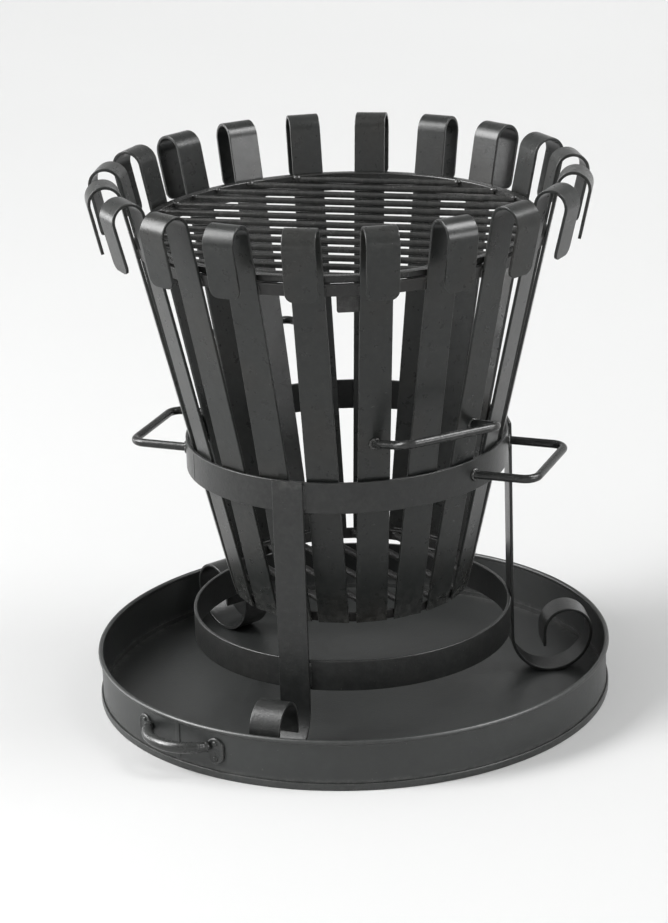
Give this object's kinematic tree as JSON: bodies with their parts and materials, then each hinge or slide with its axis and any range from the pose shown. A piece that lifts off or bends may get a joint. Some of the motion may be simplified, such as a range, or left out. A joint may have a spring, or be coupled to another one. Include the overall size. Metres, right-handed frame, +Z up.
{
  "type": "garden fire basket",
  "caption": "Conical slatted steel fire basket with rolled-over tops and a cooking grill, in a scroll-footed stand that stands in a round ash tray.",
  "frame": {"origin": "on the ground at the centre of the ash tray's underside", "axes": "+Z up along the basket's axis; -Y is the side towards the viewer, +X to the viewer's right"},
  "size_m": [0.5, 0.5, 0.522],
  "materials": {
    "tray_paint": "satin black paint over rolled sheet",
    "tray_handle_paint": "satin black paint over cast metal",
    "rivet_paint": "satin black paint",
    "stand_paint": "satin black paint over hot-rolled flat bar",
    "round_bar_paint": "satin black paint over round bar",
    "slat_paint": "satin black heat-proof paint over flat bar",
    "fire_side_paint": "matt black heat-proof paint",
    "grill_paint": "satin black paint over round bar"
  },
  "bodies": {
    "tray": {"tray_floor": "tray_paint", "tray_base_seam": "tray_paint", "tray_wall": "tray_paint", "tray_handle_front": "tray_handle_paint", "tray_handle_rear": "tray_handle_paint", "tray_rivets": "rivet_paint"},
    "stand": {"stand_band": "stand_paint", "stand_base_hoop": "stand_paint", "leg_front": "stand_paint", "leg_right": "stand_paint", "leg_rear": "stand_paint", "stand_handle_right": "round_bar_paint", "stand_handle_left": "round_bar_paint"},
    "basket": {"slat_01": "slat_paint", "slat_02": "slat_paint", "slat_03": "slat_paint", "slat_04": "slat_paint", "slat_05": "slat_paint", "slat_06": "slat_paint", "slat_07": "slat_paint", "slat_08": "slat_paint", "slat_09": "slat_paint", "slat_10": "slat_paint", "slat_11": "slat_paint", "slat_12": "slat_paint", "slat_13": "slat_paint", "slat_14": "slat_paint", "slat_15": "slat_paint", "slat_16": "slat_paint", "slat_17": "slat_paint", "slat_18": "slat_paint", "slat_19": "slat_paint", "slat_20": "slat_paint", "basket_top_hoop": "fire_side_paint", "hoop_splice": "fire_side_paint", "basket_bottom_hoop": "fire_side_paint", "basket_handle_front": "round_bar_paint", "basket_handle_rear": "round_bar_paint", "fire_bar_1": "fire_side_paint", "fire_bar_2": "fire_side_paint", "fire_bar_3": "fire_side_paint", "fire_bar_4": "fire_side_paint", "fire_bar_5": "fire_side_paint", "fire_bar_6": "fire_side_paint", "fire_bar_7": "fire_side_paint"},
    "grill": {"grill_ring": "grill_paint", "grill_rod_01": "grill_paint", "grill_rod_02": "grill_paint", "grill_rod_03": "grill_paint", "grill_rod_04": "grill_paint", "grill_rod_05": "grill_paint", "grill_rod_06": "grill_paint", "grill_rod_07": "grill_paint", "grill_rod_08": "grill_paint", "grill_rod_09": "grill_paint", "grill_rod_10": "grill_paint", "grill_rod_11": "grill_paint", "grill_rod_12": "grill_paint", "grill_rod_13": "grill_paint"}
  },
  "joints": [
    {"name": "stand_lift", "type": "slide", "parent": "tray", "child": "stand", "axis": [0, 0, 1], "range_m": [0, 0.08]},
    {"name": "basket_lift", "type": "slide", "parent": "stand", "child": "basket", "axis": [0, 0, 1], "range_m": [0, 0.18]},
    {"name": "grill_lift", "type": "slide", "parent": "basket", "child": "grill", "axis": [0, 0, 1], "range_m": [0, 0.1]}
  ]
}
